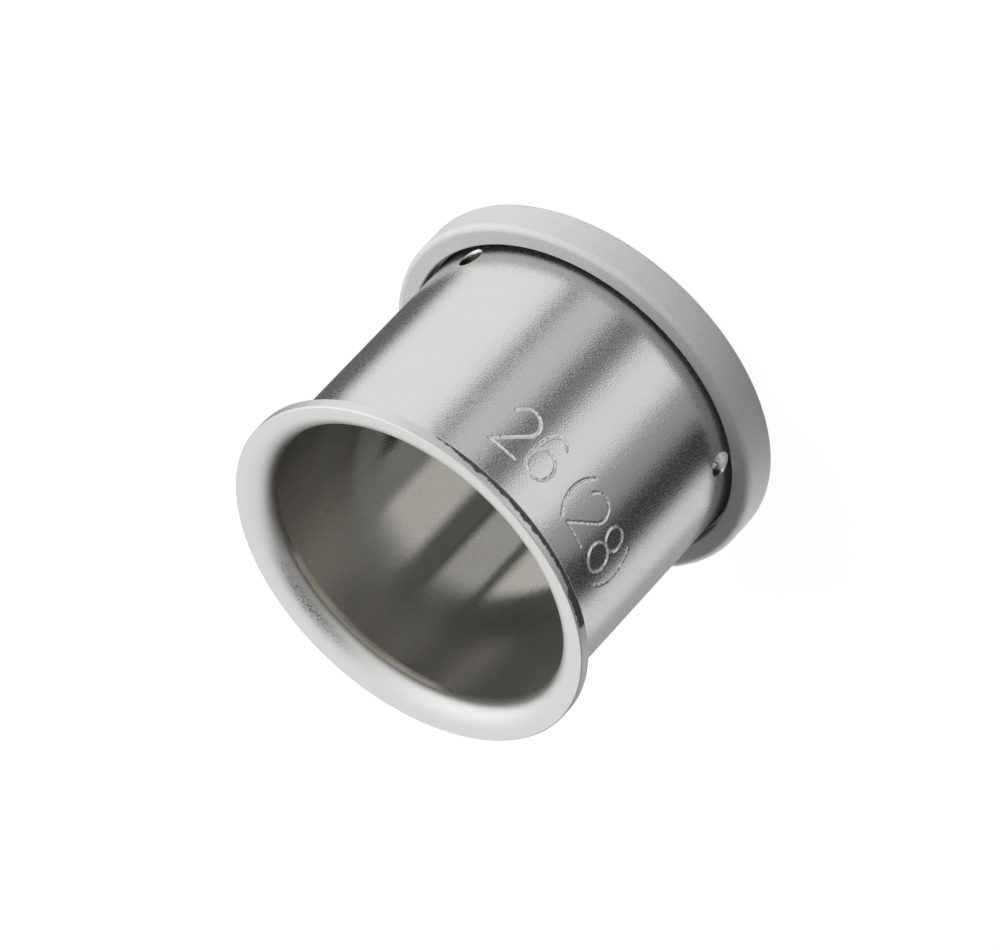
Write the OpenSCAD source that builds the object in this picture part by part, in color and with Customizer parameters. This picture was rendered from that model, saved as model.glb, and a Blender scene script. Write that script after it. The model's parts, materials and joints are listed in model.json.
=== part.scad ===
// Press fitting ring: a flared stainless press sleeve held in a grey plastic ring.
// The part stands on the flat back of the plastic ring, with the flared mouth of the sleeve up.
// The origin is at the middle of that back face. Millimetres.

/* [Sleeve] */
// Bore of the sleeve, which the pipe slides into
bore_d = 26; // [24:0.1:28]
// Thickness of the sheet that the sleeve is drawn from
wall = 1; // [0.6:0.05:1.3]
// Length of the sleeve from its rear edge to its flared mouth
sleeve_length = 24; // [16:0.5:40]
// How far the flared lip stands proud of the sleeve
lip_reach = 1.5; // [1.4:0.1:4]
// Bend radius at the back of the lip
lip_bend = 1; // [0.4:0.05:1.2]
// Rounding that the punch leaves on the front edge of the lip
lip_edge = 0.15; // [0.05:0.05:0.3]

/* [Sight holes] */
// Diameter of each sight hole
sight_d = 2; // [1:0.1:2.6]
// Number of sight holes round the sleeve
sight_count = 3; // [2:1:6]
// Distance from the front of the ring to the middle of each sight hole
sight_offset = 0.85; // [0.3:0.05:4]
// Turn of the first sight hole from the X axis
sight_turn = 96; // [0:1:119]

/* [Rear collar] */
// How far the turned-out rear edge of the sleeve stands proud
collar_reach = 0.85; // [0.7:0.05:1]
// Bend radius behind that turned-out edge
collar_bend = 0.2; // [0.1:0.05:0.4]

/* [Ring] */
// Thickness of the ring outside the groove
ring_wall = 1.05; // [0.8:0.05:3]
// Thickness of the flat web at the back, where the sleeve and the pipe end stop
web = 1; // [0.6:0.1:1.4]
// Opening in the web, which the spigot of the fitting passes through
opening_d = 19; // [14:0.5:23]
// Gap between the sleeve and the mouth of the ring
mouth_gap = 0.35; // [0.3:0.05:0.6]
// Height of the straight lip that holds the collar in its groove
mouth_land = 0.9; // [0.4:0.05:3]
// Gap round and above the collar in its groove
groove_gap = 0.15; // [0.1:0.05:0.25]
// Rounding of the outer front edge
front_round = 0.5; // [0.1:0.05:0.7]
// Rounding of the outer back edge
back_round = 0.5; // [0.1:0.05:0.6]
// Small bevels at the mouth and at the opening
bevel = 0.1; // [0.05:0.05:0.25]

/* [Hidden] */
$fn = 128;

bore_r = bore_d / 2;
sleeve_r = bore_r + wall;
lip_r = sleeve_r + lip_reach;
top = web + sleeve_length;

// The bore follows each bend one wall further out than the back of the sheet does
lip_sweep = lip_bend + wall;
collar_sweep = collar_bend + wall;
collar_r = sleeve_r + collar_reach;

mouth_r = sleeve_r + mouth_gap;
groove_r = collar_r + groove_gap;
groove_top = web + wall + groove_gap;
ring_r = groove_r + ring_wall;
ring_height = groove_top + mouth_land + bevel;
opening_r = opening_d / 2;
sight_z = ring_height + sight_offset;

// Quarter turn of the sheet about a bend centre, starting at the given angle
module bend(centre, back_r, angle) {
    translate(centre)
        rotate(angle)
            intersection() {
                difference() {
                    circle(r = back_r + wall);
                    circle(r = back_r);
                }
                square(back_r + wall);
            }
}

// Section of the drawn sheet: the collar, its bend, the straight wall, the lip's bend and the lip
module sleeve_section() {
    collar_centre = [sleeve_r + collar_bend, web + collar_sweep];
    lip_centre = [sleeve_r + lip_bend, top - lip_sweep];
    translate([collar_centre.x, web])
        square([collar_r - collar_centre.x, wall]);
    bend(collar_centre, collar_bend, 180);
    translate([bore_r, collar_centre.y])
        square([wall, lip_centre.y - collar_centre.y]);
    bend(lip_centre, lip_bend, 90);
    translate([lip_centre.x, top - wall])
        rounded_strip([lip_r - lip_centre.x, wall], lip_edge);
}

// Strip whose upper outer corner is rounded
module rounded_strip(size, r) {
    square([size.x - r, size.y]);
    square([size.x, size.y - r]);
    translate(size - [r, r])
        circle(r = r);
}

// Section of the ring: flat web, groove for the collar, and the lip that holds the collar in
module ring_section() {
    polygon([
        [opening_r + bevel, 0],
        [ring_r - back_round, 0],
        [ring_r, back_round],
        [ring_r, ring_height - front_round],
        [ring_r - front_round, ring_height],
        [mouth_r + bevel, ring_height],
        [mouth_r, ring_height - bevel],
        [mouth_r, groove_top],
        [groove_r, groove_top],
        [groove_r, web],
        [opening_r + bevel, web],
        [opening_r, web - bevel],
        [opening_r, bevel]
    ]);
    translate([ring_r - back_round, back_round])
        circle(r = back_round);
    translate([ring_r - front_round, ring_height - front_round])
        circle(r = front_round);
}

// Round holes that show whether the pipe has been pushed fully home
module sight_holes() {
    for (i = [0 : sight_count - 1])
        rotate([0, 0, sight_turn + i * 360 / sight_count])
            translate([bore_r - wall, 0, sight_z])
                rotate([0, 90, 0])
                    cylinder(h = 3 * wall, d = sight_d, $fn = 64);
}

// Thin-walled sleeve of stainless steel, drawn in one piece, which the press jaws squeeze
module press_sleeve() {
    color([0.78, 0.78, 0.77])
        difference() {
            rotate_extrude() sleeve_section();
            sight_holes();
        }
}

// Moulded ring of grey plastic that clips over the collar and carries the sleeve
module fixing_ring() {
    color([0.69, 0.69, 0.69])
        rotate_extrude() ring_section();
}

press_sleeve();
fixing_ring();
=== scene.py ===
import json
import math

import bmesh
import bpy
import numpy as np
from mathutils import Matrix, Vector, noise


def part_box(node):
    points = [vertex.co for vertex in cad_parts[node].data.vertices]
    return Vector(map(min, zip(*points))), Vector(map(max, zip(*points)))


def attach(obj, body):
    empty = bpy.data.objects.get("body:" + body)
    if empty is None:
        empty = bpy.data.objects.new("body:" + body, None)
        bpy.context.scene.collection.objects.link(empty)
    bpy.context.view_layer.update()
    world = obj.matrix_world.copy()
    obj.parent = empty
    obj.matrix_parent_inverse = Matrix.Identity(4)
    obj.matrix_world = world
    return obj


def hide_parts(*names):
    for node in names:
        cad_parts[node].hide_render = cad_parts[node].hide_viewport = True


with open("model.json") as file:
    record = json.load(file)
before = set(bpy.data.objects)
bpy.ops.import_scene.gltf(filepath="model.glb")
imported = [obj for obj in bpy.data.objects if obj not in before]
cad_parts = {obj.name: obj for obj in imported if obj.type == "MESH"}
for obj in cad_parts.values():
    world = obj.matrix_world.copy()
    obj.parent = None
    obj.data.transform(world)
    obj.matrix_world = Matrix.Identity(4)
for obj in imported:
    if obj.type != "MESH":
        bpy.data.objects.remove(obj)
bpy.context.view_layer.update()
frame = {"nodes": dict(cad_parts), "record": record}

# Camera
# The photographer looks down into the mouth of the sleeve through a long lens,
# with the camera rolled so that the sleeve lies across the picture.
MM = 0.001
VIEW_ELEVATION = math.radians(34.785)
VIEW_ROLL = math.radians(136.837)
VIEW_DISTANCE = 596.9 * MM
AIM = Vector((0.068, 0, 12.632)) * MM
LENS_MM = 288
NEAREST_SEEN = 10 * MM

back = Vector((0, -math.cos(VIEW_ELEVATION), math.sin(VIEW_ELEVATION)))
upright = Vector((0, math.sin(VIEW_ELEVATION), math.cos(VIEW_ELEVATION)))
level = upright.cross(back)
camera_up = upright * math.cos(VIEW_ROLL) + level * math.sin(VIEW_ROLL)
camera_right = camera_up.cross(back)

camera = bpy.data.objects.new("camera", bpy.data.cameras.new("camera"))
camera.data.lens = LENS_MM
camera.data.clip_start = NEAREST_SEEN
camera.matrix_world = Matrix.Translation(AIM + back * VIEW_DISTANCE) @ Matrix(
    (camera_right, camera_up, back)).transposed().to_4x4()
bpy.context.collection.objects.link(camera)
bpy.context.scene.camera = camera
bpy.context.scene.view_settings.view_transform = "Standard"


# Press sleeve
# A thin sleeve of stainless steel, drawn in one piece from 1 mm sheet. The mouth is flared to a
# flat lip, the rear edge is turned out to a narrow collar that the plastic ring holds, and three
# sight holes are punched near the ring.
mounts = {mount["name"]: mount for mount in frame["record"]["mounts"]}
sleeve_low, sleeve_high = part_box("press_sleeve")
ring_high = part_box("fixing_ring")[1]

BORE_R = mounts["pipe_bore"]["dims"]["r_mm"]
WALL = 1.0
WALL_R = BORE_R + WALL
REAR_Z = sleeve_low.z / MM
TOP_Z = sleeve_high.z / MM
LIP_R = sleeve_high.x / MM
LIP_BEND = 1.0
LIP_SWEEP = LIP_BEND + WALL
LIP_EDGE = 0.15
LIP_BACK_EDGE = 0.06
COLLAR_R = WALL_R + 0.85
COLLAR_BEND = 0.2
COLLAR_SWEEP = COLLAR_BEND + WALL
COLUMN_DEG = 1.5
COLUMNS = round(360 / COLUMN_DEG)

# The punch has torn each sight hole on the side of the ring. For each: its turn from the +X
# axis, how far the torn metal reaches into it, and down to what depth that metal gets a painted highlight.
HOLES = ((96, 0.34, 0.22), (216, 0.8, 1.0), (336, 0.34, 0.22))
HOLE_R = 1.0
HOLE_Z = ring_high.z / MM + 0.85
HOLE_BREAK = 0.02
HOLE_BORE_BREAK = 0.03
HOLE_TORN_DEPTH = 0.6
HOLE_RAGGED = 0.2
HOLE_RAGGED_MM = (0.25, 0.11)
HOLE_DULL = 1.2
# The fine mesh round each hole: its radius, its corners, and its steps down the torn slope
HOLE_APRON_R = 1.3
HOLE_CORNERS = 72
HOLE_TORN_STEPS = 8

# The holes' windows in the wall: turns to each side, and heights
HOLE_REACH = 5 * COLUMN_DEG
HOLE_FOOT = 2.4
HOLE_HEAD = 5.7

# The marking's window faces the camera, and is counted from the -Y side towards -X
MARK_TURN = 270
MARK_FROM = -15.0
MARK_TO = 58.5
MARK_MIDDLE = MARK_TURN - (MARK_FROM + MARK_TO) / 2
MARK_REACH = (MARK_TO - MARK_FROM) / 2
MARK_TOP = 15.6
MARK_FOOT = 21.0
MARK_CELL = 0.045
MARK_MARGIN = 0.3


def arc(centre, radius, start, end, steps):
    """Points of an arc, with angles in degrees."""
    angles = [math.radians(start + (end - start) * i / steps) for i in range(steps + 1)]
    return [(centre[0] + radius * math.cos(a), centre[1] + radius * math.sin(a)) for a in angles]


def line(start, end, steps):
    """Points of a straight run, both ends included."""
    return [(start[0] + (end[0] - start[0]) * i / steps,
             start[1] + (end[1] - start[1]) * i / steps) for i in range(steps + 1)]


def round_axis(turn, radius, height):
    """Point at a turn in degrees from the +X axis, in millimetres."""
    angle = math.radians(turn)
    return Vector((radius * math.cos(angle), radius * math.sin(angle), height))


lip_centre = (WALL_R + LIP_BEND, TOP_Z - LIP_SWEEP)
collar_centre = (WALL_R + COLLAR_BEND, REAR_Z + COLLAR_SWEEP)
rim_foot = TOP_Z - WALL
edge_centre = (LIP_R - LIP_EDGE, TOP_Z - LIP_EDGE)
back_edge_centre = (LIP_R - LIP_BACK_EDGE, rim_foot + LIP_BACK_EDGE)

# Rows of corners up the straight wall
wall_heights = [collar_centre[1], HOLE_FOOT, HOLE_HEAD, 9.0, 12.3, MARK_TOP, MARK_FOOT, lip_centre[1]]
inner_side = [(BORE_R, z) for z in wall_heights[:-1]]
outer_side = [(WALL_R, z) for z in reversed(wall_heights)]

# The punch that flares the mouth leaves a low ridge where it stops in the bore: heights from
# the foot of the bend, and how far the ridge stands proud
RIDGE = ((-0.5, 0), (-0.36, 0.006), (-0.22, 0.015), (-0.1, 0.022), (0.0, 0.023), (0.08, 0.018),
         (0.16, 0.01))
RIDGE_SEAM_DEG = 171
ridge = [(BORE_R - rise, lip_centre[1] + up) for up, rise in RIDGE]

section = inner_side + ridge
section += arc(lip_centre, LIP_SWEEP, RIDGE_SEAM_DEG, 90, 15)
section += line((lip_centre[0], TOP_Z), (edge_centre[0], TOP_Z), 3)[1:-1]
section += arc(edge_centre, LIP_EDGE, 90, 0, 5)
section += arc(back_edge_centre, LIP_BACK_EDGE, 0, -90, 3)
section += arc(lip_centre, LIP_BEND, 90, 180, 8)
section += outer_side[1:-1]
section += arc(collar_centre, COLLAR_BEND, 180, 270, 5)
section += [(COLLAR_R, REAR_Z + WALL), (COLLAR_R, REAR_Z)]
section += arc(collar_centre, COLLAR_SWEEP, 270, 180, 8)[:-1]


def in_window(turn, height, middle, reach, foot, head):
    """Whether a turn and a height lie inside a window of the wall."""
    away = (turn - middle + 180) % 360 - 180
    return abs(away) < reach and foot < height < head


def face_is_open(turn, start, end):
    """Whether a face of the lathed wall is left out for a hole, the marking or the rim."""
    if abs(start[0] - LIP_R) + abs(end[0] - LIP_R) < 1e-6:
        return True
    if start[0] != end[0] or start[0] not in (BORE_R, WALL_R):
        return False
    height = (start[1] + end[1]) / 2
    if any(in_window(turn, height, hole[0], HOLE_REACH, HOLE_FOOT, HOLE_HEAD) for hole in HOLES):
        return True
    return start[0] == WALL_R and in_window(turn, height, MARK_MIDDLE, MARK_REACH, MARK_TOP, MARK_FOOT)


def lathe(mesh, points, skip):
    """Turns a closed section round the axis, leaving out the faces that skip() names."""
    rows = [[mesh.verts.new(round_axis(i * COLUMN_DEG, *point) * MM) for i in range(COLUMNS)]
            for point in points]
    for row, start in enumerate(points):
        after = (row + 1) % len(points)
        for i in range(COLUMNS):
            if skip((i + 0.5) * COLUMN_DEG, start, points[after]):
                continue
            j = (i + 1) % COLUMNS
            mesh.faces.new((rows[row][i], rows[row][j], rows[after][j], rows[after][i]))


WINDOW_SLACK = 0.1


def open_edges(mesh, radius, middle, reach, foot, head):
    """Edges that bound a window on the wall of the given radius."""
    found = []
    for edge in mesh.edges:
        if not edge.is_boundary:
            continue
        point = (edge.verts[0].co + edge.verts[1].co) / 2 / MM
        turn = math.degrees(math.atan2(point.y, point.x))
        near = abs(math.hypot(point.x, point.y) - radius) < WINDOW_SLACK / 2
        if near and in_window(turn, point.z, middle, reach + WINDOW_SLACK, foot - WINDOW_SLACK,
                              head + WINDOW_SLACK):
            found.append(edge)
    return found


def ring_of(mesh, turn, radius, hole_r, torn, bright):
    """Loop of corners where a round hole meets a radius of the wall, torn inwards on the ring's
    side. The torn metal gets a painted highlight down to the given depth, fading towards the sides."""
    corners = []
    for i in range(HOLE_CORNERS):
        angle = 2 * math.pi * i / HOLE_CORNERS
        place = Vector((math.cos(angle), math.sin(angle), radius * 2 + turn))
        ragged = 1 + HOLE_RAGGED * sum(noise.noise(place / size) for size in HOLE_RAGGED_MM)
        reach = hole_r - torn * ragged * max(0.1, -math.sin(angle))
        aside = math.degrees(math.asin(reach * math.cos(angle) / radius))
        corner = mesh.verts.new(round_axis(turn + aside, radius, HOLE_Z + reach * math.sin(angle)) * MM)
        # Painted highlight on the torn metal, strongest on the ring's side and fading towards the sides
        if torn and radius > WALL_R - bright:
            share = bright - HOLE_DULL - 2 * math.sin(angle)
            corner[mesh.verts.layers.float["cut"]] = min(1, max(0, share))
        corners.append(corner)
    return corners


def punch_hole(mesh, turn, torn_in, bright):
    """A sight hole: crisp edge, torn slope below it, and the joints to both sides of the sheet."""
    window = (turn, HOLE_REACH, HOLE_FOOT, HOLE_HEAD)
    outer = open_edges(mesh, WALL_R, *window)
    inner = open_edges(mesh, BORE_R, *window)
    steps = [(WALL_R, HOLE_APRON_R, 0), (WALL_R, HOLE_R + HOLE_BREAK, 0), (WALL_R - HOLE_BREAK, HOLE_R, 0)]
    for i in range(1, HOLE_TORN_STEPS + 1):
        share = i / HOLE_TORN_STEPS
        steps.append((WALL_R - HOLE_TORN_DEPTH * share, HOLE_R, torn_in * share))
    steps += [(BORE_R + HOLE_BORE_BREAK, HOLE_R, torn_in), (BORE_R, HOLE_R + HOLE_BORE_BREAK, torn_in),
              (BORE_R, HOLE_APRON_R, 0)]
    rings = [ring_of(mesh, turn, *step, bright) for step in steps]
    for first, second in zip(rings, rings[1:]):
        for i in range(len(first)):
            j = (i + 1) % len(first)
            mesh.faces.new((first[i], first[j], second[j], second[i]))
    for edges, corners in ((outer, rings[0]), (inner, rings[-1])):
        loop = [mesh.edges.get((corners[i], corners[i - 1])) for i in range(len(corners))]
        bmesh.ops.bridge_loops(mesh, edges=edges + loop)


# The marking gives the bore and the outer diameter, which a press fitter checks.
# Each stroke is cut by a pointed scriber: a shallow V, which chatters and so varies in depth.
STROKE_HALF = 0.14
STROKE_DEPTH = 0.075
STROKE_BRIGHT = 0.85
STROKE_BRIGHT_RISE = 1.5
CHATTER_MM = 0.3
CHATTER = 1.1
DIGIT_HEIGHT = 4.3
DIGIT_FOOT = 20.44
BRACKET_HEIGHT = 4.4
BRACKET_SAGITTA = 0.85


def ellipse(centre, radii, start, end, steps=16):
    """Points of an ellipse's arc, with angles in degrees."""
    return [(centre[0] + radii[0] * x, centre[1] + radii[1] * y)
            for x, y in arc((0, 0), 1, start, end, steps)]


# Strokes of each figure in a cell of width w and height h, from the foot up
def digit_two(w, h):
    top = ellipse((w / 2, h - w / 2), (w / 2, w / 2), 165, -35)
    return [top + [(0, 0), (w, 0)]]


def digit_six(w, h):
    bowl = 0.3 * h
    back_stroke = ellipse((w / 2, h / 2), (w / 2, h / 2), 50, 180)
    return [back_stroke + [(0, bowl)], ellipse((w / 2, bowl), (w / 2, bowl), 0, 360, 28)]


def digit_eight(w, h):
    foot, head = 0.27 * h, 0.23 * h
    return [ellipse((w / 2, foot), (w / 2, foot), 0, 360, 28),
            ellipse((w / 2, h - head), (0.42 * w, head), 0, 360, 28)]


def bracket(side):
    """One bracket, which bulges to the given side."""
    radius = ((BRACKET_HEIGHT / 2) ** 2 + BRACKET_SAGITTA ** 2) / (2 * BRACKET_SAGITTA)
    half = math.degrees(math.asin(BRACKET_HEIGHT / 2 / radius))
    middle = 180 if side < 0 else 0
    centre = (-side * (radius - BRACKET_SAGITTA / 2), DIGIT_HEIGHT / 2)
    return [arc(centre, radius, middle - half, middle + half, 16)]


# Each figure with the place of its middle along the wall and its width
MARKING = (
    (digit_two(2.4, DIGIT_HEIGHT), -1.32, 2.4),
    (digit_six(2.2, DIGIT_HEIGHT), 1.6, 2.2),
    (bracket(-1), 4.92, 0),
    (digit_two(2.3, DIGIT_HEIGHT), 7.1, 2.3),
    (digit_eight(2.2, DIGIT_HEIGHT), 10.1, 2.2),
    (bracket(1), 12.27, 0),
)


def groove_depth(away, height):
    """How far the wall sinks at places given along the wall and up it, in millimetres."""
    nearest = np.full(away.shape, np.inf)
    for strokes, middle, width in MARKING:
        for stroke in strokes:
            points = np.array([(middle - width / 2 + x, DIGIT_FOOT - y) for x, y in stroke])
            for start, end in zip(points, points[1:]):
                run = end - start
                share = ((away - start[0]) * run[0] + (height - start[1]) * run[1]) / (run @ run)
                share = np.clip(share, 0, 1)
                gap = np.hypot(away - start[0] - share * run[0], height - start[1] - share * run[1])
                nearest = np.minimum(nearest, gap)
    groove = np.clip(1 - nearest / STROKE_HALF, 0, 1)
    depth = np.zeros(away.shape)
    for i, j in zip(*np.nonzero(groove)):
        chatter = noise.noise(Vector((away[i, j], height[i, j], 0)) / CHATTER_MM)
        depth[i, j] = STROKE_DEPTH * groove[i, j] * (1 + CHATTER * chatter)
    return depth


def engrave(mesh):
    """Fills the marking's window with a fine grid that sinks along the strokes."""
    window_edges = open_edges(mesh, WALL_R, MARK_MIDDLE, MARK_REACH, MARK_TOP, MARK_FOOT)
    cut = mesh.verts.layers.float["cut"]
    start = math.radians(MARK_FROM) * WALL_R + MARK_MARGIN
    end = math.radians(MARK_TO) * WALL_R - MARK_MARGIN
    top, foot = MARK_TOP + MARK_MARGIN, MARK_FOOT - MARK_MARGIN
    across = np.linspace(start, end, round((end - start) / MARK_CELL) + 1)
    upward = np.linspace(top, foot, round((foot - top) / MARK_CELL) + 1)
    away, height = np.meshgrid(across, upward)
    depth = groove_depth(away, height)
    turn = MARK_TURN - np.degrees(away / WALL_R)
    grid = [[mesh.verts.new(round_axis(turn[i, j], WALL_R - depth[i, j], height[i, j]) * MM)
             for j in range(len(across))] for i in range(len(upward))]
    for row, sunk in zip(grid, depth):
        for corner, share in zip(row, sunk / STROKE_DEPTH):
            corner[cut] = STROKE_BRIGHT * min(1, share * STROKE_BRIGHT_RISE)
    for i in range(len(upward) - 1):
        for j in range(len(across) - 1):
            mesh.faces.new((grid[i][j], grid[i][j + 1], grid[i + 1][j + 1], grid[i + 1][j]))
    rim = grid[0] + [row[-1] for row in grid[1:]] + grid[-1][-2::-1] + [row[0] for row in grid[-2:0:-1]]
    loop = [mesh.edges.get((rim[i], rim[i - 1])) for i in range(len(rim))]
    bmesh.ops.bridge_loops(mesh, edges=window_edges + loop)


# The trimmed edge of the lip. The die shears the front half of the thickness bright and smooth.
# Behind it the sheet tears away in stretches, each rough and sunk with a ragged border, and painted dark as
# painted shade.
# Stretches: from and to, in degrees from the -Y side towards -X, and the height of the tear
TEARS = ((-28, 49, 0.52), (33, 50, 0.8), (128, 205, 0.42))
# Shares of a stretch over which its tear climbs and drops again
TEAR_CLIMB = 0.3
TEAR_DROP = 0.03
TEAR_DEPTH = 0.035
# The ragged border: its width, the sizes and reaches of its bites, and the height of a tear at
# which they are whole
TEAR_BORDER = 0.06
BITES = ((0.6, 0.14), (0.2, 0.112))
BITTEN_FROM = 0.2
PIT_MM = 0.16
RIM_CELL = 0.08
RIM_ROWS = 14
RIM_MARGIN = 0.04


def tear_height(turn):
    """How far up the rim the tear reaches at a turn from the -Y side."""
    reach = 0.0
    for start, end, height in TEARS:
        share = ((turn - start) % 360) / (end - start)
        if share < 1:
            rise = min(1, share / TEAR_CLIMB)
            reach = max(reach, height * rise * rise * (3 - 2 * rise) * min(1, (1 - share) / TEAR_DROP))
    return reach


def torn_share(turn, place, z):
    """How far the rim has torn at a place, from 0 where it is sheared to 1."""
    height = tear_height(MARK_TURN - turn)
    if height <= 0:
        return 0
    ragged = sum(noise.noise(place / size) * reach for size, reach in BITES)
    share = (height + ragged * min(1, height / BITTEN_FROM) - (z - rim_foot)) / TEAR_BORDER
    return min(1, max(0, share))


def shear_rim(mesh):
    """Fills the open rim with a fine strip, sunk and marked where the sheet has torn."""
    torn = mesh.verts.layers.float["torn"]
    low, high = rim_foot + LIP_BACK_EDGE, edge_centre[1]
    open_rims = [[e for e in mesh.edges if e.is_boundary
                  and all(abs(v.co.z / MM - z) < 1e-3 and v.co.xy.length / MM > WALL_R + 1 for v in e.verts)]
                 for z in (low, high)]
    columns = round(2 * math.pi * LIP_R / RIM_CELL)
    strip = []
    for z in np.linspace(low + RIM_MARGIN, high - RIM_MARGIN, RIM_ROWS):
        row = []
        for i in range(columns):
            turn = 360 * i / columns
            place = round_axis(turn, LIP_R, z)
            share = torn_share(turn, place, z)
            pits = 0.6 + 0.8 * noise.noise(place / PIT_MM)
            corner = mesh.verts.new(round_axis(turn, LIP_R - TEAR_DEPTH * share * pits, z) * MM)
            corner[torn] = share
            row.append(corner)
        strip.append(row)
    for lower, upper in zip(strip, strip[1:]):
        for i in range(columns):
            j = (i + 1) % columns
            mesh.faces.new((lower[i], lower[j], upper[j], upper[i]))
    for edges, row in zip(open_rims, (strip[0], strip[-1])):
        loop = [mesh.edges.get((row[i], row[i - 1])) for i in range(columns)]
        bmesh.ops.bridge_loops(mesh, edges=edges + loop)


SHARP_DEG = 40


def new_object(name, mesh):
    """Makes an object of a finished mesh, smooth but for its sharp edges."""
    bmesh.ops.recalc_face_normals(mesh, faces=mesh.faces)
    data = bpy.data.meshes.new(name)
    mesh.to_mesh(data)
    mesh.free()
    data.shade_smooth()
    data.set_sharp_from_angle(angle=math.radians(SHARP_DEG))
    thing = bpy.data.objects.new(name, data)
    bpy.context.collection.objects.link(thing)
    return thing


# Each corner says how much of it is bright, cut by a tool in the marking and painted as a highlight on the
# torn metal in a hole, and how much is torn, which the rim's tone paints dark as shade
sheet = bmesh.new()
for layer in ("cut", "torn"):
    sheet.verts.layers.float.new(layer)
lathe(sheet, section, skip=face_is_open)
for hole in HOLES:
    punch_hole(sheet, *hole)
engrave(sheet)
shear_rim(sheet)
sleeve = new_object("drawn_sleeve", sheet)


def colour(code):
    """Linear colour of an sRGB hex code."""
    parts = [int(code[i:i + 2], 16) / 255 for i in (1, 3, 5)]
    return tuple(p / 12.92 if p <= 0.04045 else ((p + 0.055) / 1.055) ** 2.4 for p in parts) + (1.0,)


def add(tree, kind, inputs=None, **settings):
    """Adds a node, makes its settings, and links or sets its inputs."""
    node = tree.nodes.new("ShaderNode" + kind)
    for name, value in settings.items():
        setattr(node, name, value)
    for name, value in (inputs or {}).items():
        if isinstance(value, bpy.types.NodeSocket):
            tree.links.new(value, node.inputs[name])
        else:
            node.inputs[name].default_value = value
    return node


def new_material(name):
    """An empty material, with its tree and its output."""
    material = bpy.data.materials.new(name)
    material.use_nodes = True
    material.node_tree.nodes.clear()
    tree = material.node_tree
    return material, tree, add(tree, "OutputMaterial")


def turn_from_front(tree, place):
    """Turn from the -Y side towards -X, in radians, as the marking is counted."""
    sides = add(tree, "VectorMath", {0: place, 1: (-1, -1, 1)}, operation="MULTIPLY").outputs[0]
    sides = add(tree, "SeparateXYZ", {0: sides}).outputs
    return add(tree, "Math", {0: sides["X"], 1: sides["Y"]}, operation="ARCTAN2").outputs[0]


def away_from(tree, value, middle, half_turn=None):
    """How far a value lies to either side of a middle, the short way round where it is a turn."""
    off = add(tree, "Math", {0: value, 1: middle}, operation="SUBTRACT").outputs[0]
    if half_turn:
        off = add(tree, "Math", {0: off, 1: half_turn, 2: -half_turn}, operation="WRAP").outputs[0]
    return add(tree, "Math", {0: off}, operation="ABSOLUTE").outputs[0]


# Stainless steel, drawn and pickled: a satin skin of fine even grain, which blurs what it mirrors
# into soft streaks. The real grain is about 0.03 mm, the draw lines 0.1 mm and the crumbs of torn
# metal 0.05 mm. They are too fine to show, so they are drawn as coarse as they need to be.
GRAIN_MM = 0.1
DRAW_LINE_MM = 0.35
DRAW_LINE_STRETCH = 0.04
CRUMB_MM = 0.16
CLOUD_MM = 5

satin, tree, output = new_material("drawn stainless steel, satin")
place = add(tree, "TexCoord").outputs["Object"]
height = add(tree, "SeparateXYZ", {0: place}).outputs["Z"]
flat_place = add(tree, "VectorMath", {0: place, 1: (1, 1, 0)}, operation="MULTIPLY").outputs[0]
radius = add(tree, "VectorMath", {0: flat_place}, operation="LENGTH").outputs["Value"]
turn = turn_from_front(tree, place)
torn = add(tree, "Attribute", attribute_name="torn").outputs["Fac"]
cut = add(tree, "Attribute", attribute_name="cut").outputs["Fac"]

grain = add(tree, "TexNoise", {"Vector": place, "Scale": 1 / (GRAIN_MM * MM), "Detail": 0.0}).outputs[0]
drawn_place = add(tree, "VectorMath", {0: place, 1: (1, 1, DRAW_LINE_STRETCH)},
                  operation="MULTIPLY").outputs[0]
draw_lines = add(tree, "TexNoise", {"Vector": drawn_place, "Scale": 1 / (DRAW_LINE_MM * MM)}).outputs[0]
clouds = add(tree, "TexNoise", {"Vector": place, "Scale": 1 / (CLOUD_MM * MM)}).outputs[0]
crumbs = add(tree, "TexNoise", {"Vector": place, "Scale": 1 / (CRUMB_MM * MM)}).outputs[0]

# Places on the sleeve: what is measured, and the radii or heights between which each fades in
PLACES = (
    (radius, BORE_R + 0.3, BORE_R + 0.04, "SMOOTHSTEP"),
    (height, TOP_Z - 2.1, TOP_Z - 0.6, "SMOOTHSTEP"),
    (radius, LIP_R - 0.02, LIP_R - 0.08, "LINEAR"),
    (height, HOLE_Z + 1.1, HOLE_Z + 1.0, "LINEAR"),
    (radius, WALL_R - 0.01, WALL_R - 0.04, "LINEAR"),
    (radius, WALL_R + 0.1, WALL_R - 0.4, "LINEAR"),
)
in_bore, near_mouth, off_rim, near_holes, off_wall, deep = (
    add(tree, "MapRange", {0: measure, 1: start * MM, 2: end * MM}, interpolation_type=fade).outputs[0]
    for measure, start, end, fade in PLACES)
on_rim = add(tree, "Math", {0: 1.0, 1: off_rim}, operation="SUBTRACT").outputs[0]
on_lip = add(tree, "Math", {0: near_mouth, 1: off_rim}, operation="MULTIPLY").outputs[0]
in_sheet = add(tree, "Math", {0: off_wall, 1: in_bore}, operation="SUBTRACT", use_clamp=True).outputs[0]
in_hole = add(tree, "Math", {0: near_holes, 1: in_sheet}, operation="MULTIPLY").outputs[0]
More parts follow.
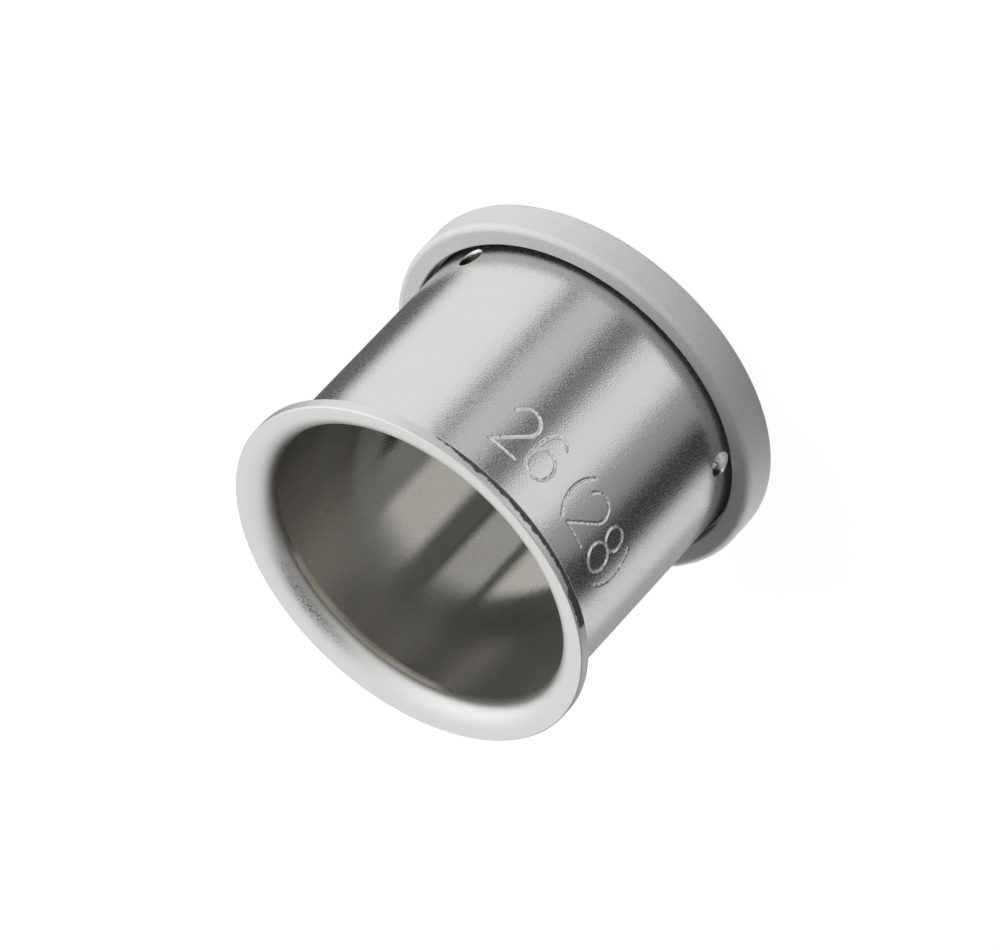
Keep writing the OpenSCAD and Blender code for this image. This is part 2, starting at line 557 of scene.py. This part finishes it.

# A band of painted shade, mottled by noise, runs round the bend along one stretch
GALL_MIDDLE = -163
GALL_HALF = 24
GALL_FULL = 6
GALL_DROP = 0.68
GALL_WIDTH = 0.42
GALL_CORE = 0.042
SCUFF_MM = 0.14
SCUFF_SPREAD = (0.42, 0.66)
off_middle = away_from(tree, turn, math.radians(GALL_MIDDLE), math.pi)
in_stretch = add(tree, "MapRange", {0: off_middle, 1: math.radians(GALL_HALF),
                                    2: math.radians(GALL_FULL)}).outputs[0]
off_line = away_from(tree, height, (TOP_Z - GALL_DROP) * MM)
in_line = add(tree, "MapRange", {0: off_line, 1: GALL_WIDTH * MM, 2: GALL_CORE * MM}).outputs[0]
scuffs = add(tree, "TexNoise", {"Vector": place, "Scale": 1 / (SCUFF_MM * MM), "Detail": 3.0}).outputs[0]
scuffs = add(tree, "MapRange", {0: scuffs, 1: SCUFF_SPREAD[0], 2: SCUFF_SPREAD[1]}).outputs[0]
galled = in_stretch
for share in (in_line, off_rim, scuffs):
    galled = add(tree, "Math", {0: galled, 1: share}, operation="MULTIPLY").outputs[0]

# Below the bend the punch has rubbed the far side of the bore: a rough band, whose light, faintly yellow
# tone is a painted sheen
RUB_HALF = 40
RUB_FULL = 30
RUB_DROP = 1.9
RUB_WIDTH = 0.34
RUB_CORE = 0.17
RUB_PATCH_MM = 3
RUB_PATCH_SPREAD = (0.38, 0.58)
RUB_THINNEST = 0.6
off_far_side = away_from(tree, turn, math.pi, math.pi)
in_stretch = add(tree, "MapRange", {0: off_far_side, 1: math.radians(RUB_HALF),
                                    2: math.radians(RUB_FULL)},
                 interpolation_type="SMOOTHSTEP").outputs[0]
off_line = away_from(tree, height, (TOP_Z - RUB_DROP) * MM)
in_line = add(tree, "MapRange", {0: off_line, 1: RUB_WIDTH * MM, 2: RUB_CORE * MM}).outputs[0]
patches = add(tree, "TexNoise", {"Vector": place, "Scale": 1 / (RUB_PATCH_MM * MM)}).outputs[0]
patches = add(tree, "MapRange", {0: patches, 1: RUB_PATCH_SPREAD[0], 2: RUB_PATCH_SPREAD[1],
                                 3: RUB_THINNEST, 4: 1.0}).outputs[0]
rubbed = in_stretch
for share in (in_line, in_bore, patches):
    rubbed = add(tree, "Math", {0: rubbed, 1: share}, operation="MULTIPLY").outputs[0]

# The grain sparkles on the wall. The bore is smoother low down and duller towards the mouth.
GRAIN_SPREAD = (0.3, 0.7)
GRAIN_TONE_SPREAD = (0.2, 0.8)
WALL_ROUGH = (0.17, 0.278)
BORE_ROUGH = (0.08, 0.26)
BORE_ROUGH_HEIGHTS = (12.5, 20)
WALL_SPECKLE = 0.04
BORE_SPECKLE = 0.11
wall_rough = add(tree, "MapRange", {0: grain, 1: GRAIN_SPREAD[0], 2: GRAIN_SPREAD[1],
                                    3: WALL_ROUGH[0], 4: WALL_ROUGH[1]}).outputs[0]
bore_rough = add(tree, "MapRange", {0: height, 1: BORE_ROUGH_HEIGHTS[0] * MM, 2: BORE_ROUGH_HEIGHTS[1] * MM,
                                    3: BORE_ROUGH[0], 4: BORE_ROUGH[1]}).outputs[0]
rough = add(tree, "Mix", {0: in_bore, 2: wall_rough, 3: bore_rough}).outputs[0]

tone = add(tree, "Mix", {0: clouds, 6: colour("#D6D5D3"), 7: colour("#DCDBD9")}, data_type="RGBA").outputs[2]
tone = add(tree, "Mix", {0: in_bore, 6: tone, 7: colour("#B9B6AF")}, data_type="RGBA").outputs[2]
speckle = add(tree, "MapRange", {0: grain, 1: GRAIN_TONE_SPREAD[0], 2: GRAIN_TONE_SPREAD[1],
                                 3: -1.0, 4: 1.0}).outputs[0]
speckle_share = add(tree, "MapRange", {0: in_bore, 3: WALL_SPECKLE, 4: BORE_SPECKLE}).outputs[0]
speckle = add(tree, "Math", {0: speckle, 1: speckle_share, 2: 1.0}, operation="MULTIPLY_ADD").outputs[0]
tone = add(tree, "VectorMath", {0: tone, "Scale": speckle}, operation="SCALE").outputs[0]

# In a hole the punched metal is light at the edge and crumbly further in, where painted shade darkens it
CRUMB_SPREAD = (0.75, 1.05)
deep = add(tree, "Math", {0: deep, 1: crumbs}, operation="ADD").outputs[0]
deep = add(tree, "MapRange", {0: deep, 1: CRUMB_SPREAD[0], 2: CRUMB_SPREAD[1]}).outputs[0]
hole_tone = add(tree, "Mix", {0: deep, 6: colour("#E6E5E2"), 7: colour("#4C4943")},
                data_type="RGBA").outputs[2]
# The tear's tone is painted near black, as painted shade in the torn metal
torn_tone = add(tree, "Mix", {0: grain, 6: colour("#2E2C2A"), 7: colour("#86837E")},
                data_type="RGBA").outputs[2]

# The finishes, each over the ones before it: where it is, its roughness, and its tone. Some
# tones are painted light or shade, as noted. A blasted punch has flattened the lip, which so looks frosted.
FINISHES = (
    (on_lip, 0.46, colour("#DEDEDD")),
    (on_rim, 0.46, colour("#E0E0DE")),
    # In the holes painted shade darkens the wall further in
    (in_hole, 0.3, hole_tone),
    # The marking's grooves are cut bright; in the holes the same bright tone is a painted highlight on the
    # torn metal
    (cut, 0.44, colour("#EDEDEC")),
    # The torn rim is rough, and its dark tone is painted shade
    (torn, 0.6, torn_tone),
    # The rubbed band is rough, and its light yellowish tone is a painted sheen
    (rubbed, 0.62, colour("#F2ECD8")),
)
for where, finish_rough, finish_tone in FINISHES:
    rough = add(tree, "Mix", {0: where, 2: rough, 3: finish_rough}).outputs[0]
    tone = add(tree, "Mix", {0: where, 6: tone, 7: finish_tone}, data_type="RGBA").outputs[2]
# Painted shade along one stretch of the bend
tone = add(tree, "Mix", {0: galled, 6: tone, 7: colour("#7D7A75")}, data_type="RGBA").outputs[2]

# The relief of the draw lines and of the grain. In the bore a film of the drawing compound is
# left, which fills half of the grain and hides part of the metal.
DRAW_LINE_DEPTH = 0.0015
GRAIN_DEPTH = 0.0075
BORE_GRAIN = 0.5
BORE_METAL = 0.73
line_bump = add(tree, "Bump", {"Height": draw_lines, "Distance": DRAW_LINE_DEPTH * MM, "Strength": 0.5})
grain_share = add(tree, "MapRange", {0: in_bore, 3: 1.0, 4: BORE_GRAIN}).outputs[0]
grain_bump = add(tree, "Bump", {"Height": grain, "Distance": GRAIN_DEPTH * MM, "Strength": grain_share,
                                "Normal": line_bump.outputs[0]})
metal = add(tree, "MapRange", {0: in_bore, 3: 1.0, 4: BORE_METAL}).outputs[0]
steel = add(tree, "BsdfPrincipled", {"Base Color": tone, "Metallic": metal, "Roughness": rough,
                                     "Normal": grain_bump.outputs[0]})
tree.links.new(steel.outputs[0], output.inputs["Surface"])
sleeve.data.materials.append(satin)

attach(sleeve, "root")
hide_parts("press_sleeve")


# Fixing ring
# A flat ring of grey plastic, moulded in one piece, which clips over the collar of the sleeve.
# Its skin is matt, with the faint grain of the spark-eroded mould. That grain is about 0.03 mm
# in the real ring, too fine to show, so it is drawn four times as coarse.
MOULD_GRAIN_MM = 0.12
MOULD_GRAIN_DEPTH = 0.02
MOULD_GRAIN_SPREAD = (0.3, 0.7)
MATT_ROUGH = (0.46, 0.56)

plastic, tree, output = new_material("grey polyamide, moulded")
place = add(tree, "TexCoord").outputs["Object"]
skin = add(tree, "TexNoise", {"Vector": place, "Scale": 1 / (MOULD_GRAIN_MM * MM)}).outputs[0]
tone = add(tree, "Mix", {0: skin, 6: colour("#BCBCBC"), 7: colour("#E4E4E4")}, data_type="RGBA").outputs[2]
rough = add(tree, "MapRange", {0: skin, 1: MOULD_GRAIN_SPREAD[0], 2: MOULD_GRAIN_SPREAD[1],
                               3: MATT_ROUGH[0], 4: MATT_ROUGH[1]}).outputs[0]
bump = add(tree, "Bump", {"Height": skin, "Distance": MOULD_GRAIN_DEPTH * MM, "Strength": 1.0})
body = add(tree, "BsdfPrincipled", {"Base Color": tone, "Roughness": rough, "Normal": bump.outputs[0]})
tree.links.new(body.outputs[0], output.inputs["Surface"])
ring = frame["nodes"]["fixing_ring"]
ring.data.materials.clear()
ring.data.materials.append(plastic)


# Studio
# The part stands on a white table in a light tent. The table shows white and keeps a soft
# shadow. What the steel mirrors of it is the tent's lower half, whose light and dark cards
# stand far off, so that they draw straight streaks along the sleeve.
FLOOR_SIZE = 6.0
FLOOR_SHOWN = 0.955
FLOOR_SHADE = 0.1

floor_mesh = bmesh.new()
bmesh.ops.create_grid(floor_mesh, x_segments=1, y_segments=1, size=FLOOR_SIZE / 2)
floor = new_object("white_table", floor_mesh)

table, tree, output = new_material("white table")
rays = add(tree, "LightPath").outputs
matt = add(tree, "BsdfDiffuse", {"Color": colour("#E0E0E0")})
shaded = add(tree, "BsdfDiffuse", {"Color": (FLOOR_SHADE, FLOOR_SHADE, FLOOR_SHADE, 1)})
shown = add(tree, "Emission", {"Color": (1, 1, 1, 1), "Strength": FLOOR_SHOWN})
lit = add(tree, "AddShader", {0: shaded.outputs[0], 1: shown.outputs[0]})
seen = add(tree, "MixShader", {0: rays["Is Camera Ray"], 1: matt.outputs[0], 2: lit.outputs[0]})
mirrored = add(tree, "Math", {0: rays["Is Glossy Ray"], 1: rays["Is Transmission Ray"]}, operation="MAXIMUM")
clear = add(tree, "BsdfTransparent")
surface = add(tree, "MixShader", {0: mirrored.outputs[0], 1: seen.outputs[0], 2: clear.outputs[0]})
tree.links.new(surface.outputs[0], output.inputs["Surface"])
floor.data.materials.append(table)

# Cards of the tent's lower half: middle and half-width in degrees from the -Y side towards
# -X, softness of the edge in degrees, and brightness
CARDS = (
    (-155, 20, 12, 0.12),
    (-88, 39, 8, 1.0),
    (-28, 14, 3, 0.68),
    (-3, 8, 3, 0.16),
    (54, 15, 6, 0.35),
    (24, 18, 7, 0.92),
    (147, 25, 26, 0.42),
    (118, 16, 6, 0.82),
    (180, 9, 6, 0.9),
)
DARK_CARD = 0.03
# Large cards of the upper half: the way to the middle, half-width in degrees, and brightness
WIDE_CARDS = (
    (Vector((0.97, 0.0, 0.25)), 55, 1.38),
    (Vector((-0.5, -0.6, 0.62)), 44, 0.27),
    (Vector((-1.0, -0.1, 0.0)), 30, 0.12),
)
WIDE_CARD_CORE = 0.95
TENT_LEVEL = 0.95
# Ways up between which the lower half gives over to the upper one
HORIZON = (-0.12, 0.05)
# Between the far left cards and the upper tent the studio stays dark: middle and half-width of
# that gap and softness of its sides in degrees, and the ways up where it opens and closes
GAP_MIDDLE = 135
GAP_HALF = 38
GAP_SOFT = 14
GAP_OPENS = (-0.46, -0.34)
GAP_CLOSES = (0.24, 0.08)
GAP_LEVEL = 0.06
# Light of the tent on dull surfaces, and on what the steel mirrors of them
AMBIENT_LEVEL = 0.09
BOUNCED_LEVEL = 0.16

world = bpy.data.worlds.new("light tent")
bpy.context.scene.world = world
world.cycles.sampling_method = "NONE"
world.use_nodes = True
tree = world.node_tree
tree.nodes.clear()
towards = add(tree, "TexCoord").outputs["Generated"]
way_up = add(tree, "SeparateXYZ", {0: towards}).outputs["Z"]
turn = add(tree, "Math", {0: turn_from_front(tree, towards)}, operation="DEGREES").outputs[0]

lower = DARK_CARD
for middle, half, edge, brightness in CARDS:
    share = add(tree, "MapRange", {0: away_from(tree, turn, middle, 180.0), 1: half + edge / 2,
                                   2: half - edge / 2}, interpolation_type="SMOOTHSTEP").outputs[0]
    lower = add(tree, "Mix", {0: share, 2: lower, 3: brightness}).outputs[0]

upper = TENT_LEVEL
for way, half, brightness in WIDE_CARDS:
    facing = add(tree, "VectorMath", {0: towards, 1: way.normalized()}, operation="DOT_PRODUCT")
    share = add(tree, "MapRange", {0: facing.outputs["Value"], 1: math.cos(math.radians(half)),
                                   2: WIDE_CARD_CORE}, interpolation_type="SMOOTHSTEP").outputs[0]
    upper = add(tree, "Mix", {0: share, 2: upper, 3: brightness}).outputs[0]

above = add(tree, "MapRange", {0: way_up, 1: HORIZON[0], 2: HORIZON[1]},
            interpolation_type="SMOOTHSTEP").outputs[0]
tent = add(tree, "Mix", {0: above, 2: lower, 3: upper}).outputs[0]
gap = add(tree, "MapRange", {0: away_from(tree, turn, GAP_MIDDLE, 180.0), 1: GAP_HALF,
                             2: GAP_HALF - GAP_SOFT}, interpolation_type="SMOOTHSTEP").outputs[0]
for start, end in (GAP_OPENS, GAP_CLOSES):
    share = add(tree, "MapRange", {0: way_up, 1: start, 2: end}).outputs[0]
    gap = add(tree, "Math", {0: gap, 1: share}, operation="MULTIPLY").outputs[0]
tent = add(tree, "Mix", {0: gap, 2: tent, 3: GAP_LEVEL}).outputs[0]

rays = add(tree, "LightPath").outputs
mirrored = add(tree, "Math", {0: rays["Is Glossy Ray"], 1: rays["Diffuse Depth"]},
               operation="SUBTRACT", use_clamp=True).outputs[0]
bounced = add(tree, "Math", {0: rays["Is Glossy Ray"], 1: rays["Diffuse Depth"]},
              operation="MINIMUM").outputs[0]
strength = add(tree, "Mix", {0: bounced, 2: AMBIENT_LEVEL, 3: BOUNCED_LEVEL}).outputs[0]
strength = add(tree, "Mix", {0: mirrored, 2: strength, 3: tent}).outputs[0]
strength = add(tree, "Mix", {0: rays["Is Camera Ray"], 2: strength, 3: 1.0}).outputs[0]
light = add(tree, "Background", {"Color": (1, 1, 1, 1), "Strength": strength})
add(tree, "OutputWorld", {"Surface": light.outputs[0]})

# A high softbox and two strips low above the table: the way to each, its width and height in
# metres, and its power in watts
LAMPS = (
    ("key_softbox", Vector((0.52, 0.09, 0.85)), 0.7, 0.7, 5.4),
    ("front_strip", Vector((0.707, -0.707, 0.06)), 0.5, 0.08, 2.4),
    ("rear_strip", Vector((-0.78, 0.62, 0.06)), 0.5, 0.08, 5.6),
)
LAMP_DISTANCE = 0.75
for name, way, wide, high, power in LAMPS:
    lamp = bpy.data.objects.new(name, bpy.data.lights.new(name, "AREA"))
    lamp.data.shape = "RECTANGLE"
    lamp.data.size = wide
    lamp.data.size_y = high
    lamp.data.energy = power
    lamp.location = way.normalized() * LAMP_DISTANCE
    lamp.rotation_euler = way.to_track_quat("Z", "Y").to_euler()
    lamp.visible_glossy = False
    bpy.context.collection.objects.link(lamp)
